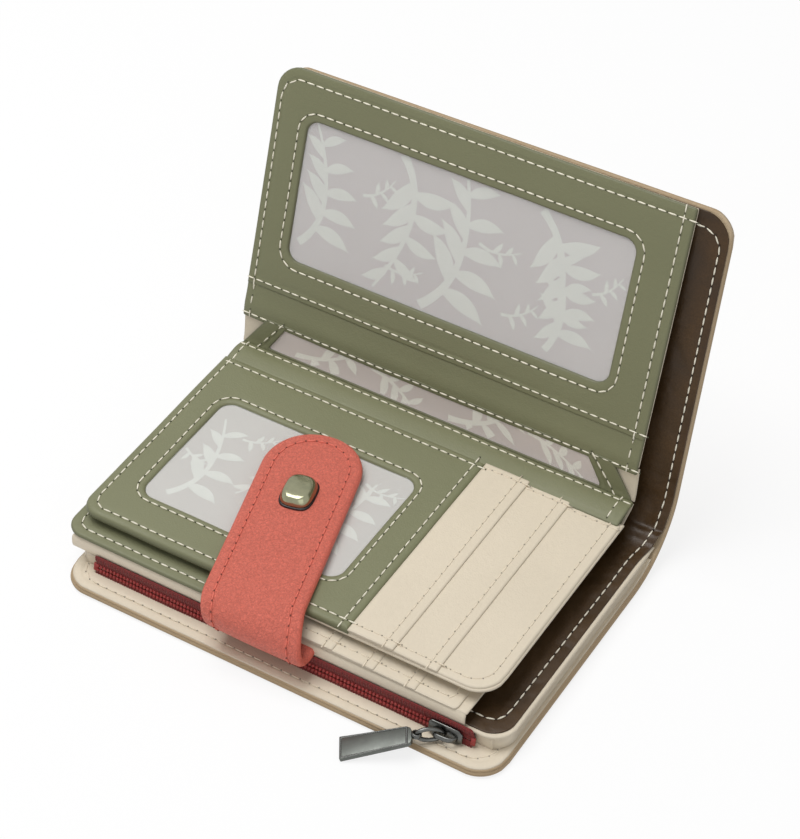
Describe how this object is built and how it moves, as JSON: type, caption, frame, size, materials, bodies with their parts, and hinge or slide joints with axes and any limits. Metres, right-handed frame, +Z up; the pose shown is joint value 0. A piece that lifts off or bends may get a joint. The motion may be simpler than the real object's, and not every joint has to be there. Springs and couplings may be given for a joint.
{
  "type": "coupon organizer wallet",
  "caption": "Fold-over wallet standing open: zipped coin pocket, card pockets and window leaves, note compartment, and a snap strap hinged at the front.",
  "frame": {"origin": "centre of the lower cover's underside, on the table", "axes": "+X along the spine to the right, +Y back towards the spine, +Z up"},
  "size_m": [0.145, 0.1432, 0.1048],
  "materials": {
    "cover_leather": "smooth artificial leather with a fine grain",
    "cream_leather": "smooth artificial leather, satin",
    "olive_leather": "smooth artificial leather, satin",
    "brown_lining": "satin-woven lining",
    "gusset_cloth": "plain lining",
    "zip_cloth": "woven tape",
    "zip_teeth": "moulded coil",
    "printed_board": "printed, pale motifs on taupe",
    "clear_film": "clear, glossy",
    "coral_leather": "crackled grain",
    "gunmetal": "dark polished plating"
  },
  "bodies": {
    "base": {"lower_cover": "cover_leather", "pocket_floor": "cream_leather", "gusset_left": "gusset_cloth", "gusset_right": "gusset_cloth", "pocket_back_seam": "cream_leather", "pocket_roof": "cream_leather", "zip_tape_lower": "zip_cloth", "zip_tape_upper": "zip_cloth", "zip_teeth_lower": "zip_teeth", "zip_teeth_upper": "zip_teeth", "zip_stops": "zip_teeth", "note_liner_lower": "brown_lining", "inner_wall": "cream_leather", "wall_front_seam": "cream_leather", "wall_side_seam": "cream_leather", "second_leaf_page": "olive_leather", "second_pocket_1": "cream_leather", "second_pocket_2": "cream_leather", "second_pocket_3": "cream_leather", "second_pocket_4": "cream_leather", "top_leaf_backing": "cream_leather", "top_leaf_frame": "olive_leather", "top_leaf_insert": "printed_board", "top_leaf_film": "clear_film", "top_pocket_1": "cream_leather", "top_pocket_2": "cream_leather", "top_pocket_3": "cream_leather", "hinge_strip": "olive_leather", "inner_page": "olive_leather", "inner_page_insert": "printed_board", "inner_page_film": "clear_film", "wall_hinge": "cream_leather", "strap_root": "coral_leather"},
    "spine": {"spine_cover": "cover_leather", "spine_liner": "brown_lining"},
    "upper": {"upper_cover": "cover_leather", "upper_liner": "brown_lining", "page_side_wall": "olive_leather", "page_backing": "cream_leather", "page_frame": "olive_leather", "page_band": "olive_leather", "page_insert": "printed_board", "page_film": "clear_film", "snap_stud": "gunmetal"},
    "strap": {"strap": "coral_leather", "snap_cap": "gunmetal", "snap_socket": "gunmetal"},
    "slider": {"zip_slider": "gunmetal"},
    "ring": {"pull_ring": "gunmetal"},
    "tab": {"pull_tab": "gunmetal"}
  },
  "joints": [
    {"name": "spine_fold", "type": "hinge", "parent": "base", "child": "spine", "pos_m": [0, 0.0445, 0.0008], "axis": [1, 0, 0], "range_deg": [-54, 31], "deforming": ["hinge_strip", "inner_page", "inner_page_insert", "inner_page_film", "wall_hinge"]},
    {"name": "cover_fold", "type": "hinge", "parent": "spine", "child": "upper", "pos_m": [0, 0.06125, 0.02386], "axis": [1, 0, 0], "range_deg": [-17.5, 76]},
    {"name": "strap_swing", "type": "hinge", "parent": "base", "child": "strap", "pos_m": [-0.0072, -0.0392, 0.0211], "axis": [0.9641, 0.2656, 0], "range_deg": [0, 160]},
    {"name": "zip_slide", "type": "slide", "parent": "base", "child": "slider", "axis": [1, 0, 0], "range_m": [-0.1099, 0], "deforming": ["zip_teeth_lower", "zip_teeth_upper"]},
    {"name": "ring_swing", "type": "hinge", "parent": "slider", "child": "ring", "pos_m": [0.054, -0.03916, 0.00501], "axis": [0, 0.2419, 0.9703], "range_deg": [0, 60]},
    {"name": "tab_swing", "type": "hinge", "parent": "ring", "child": "tab", "pos_m": [0.04848, -0.04365, 0.00613], "axis": [0, 0.2419, 0.9703], "range_deg": [0, 45]}
  ]
}
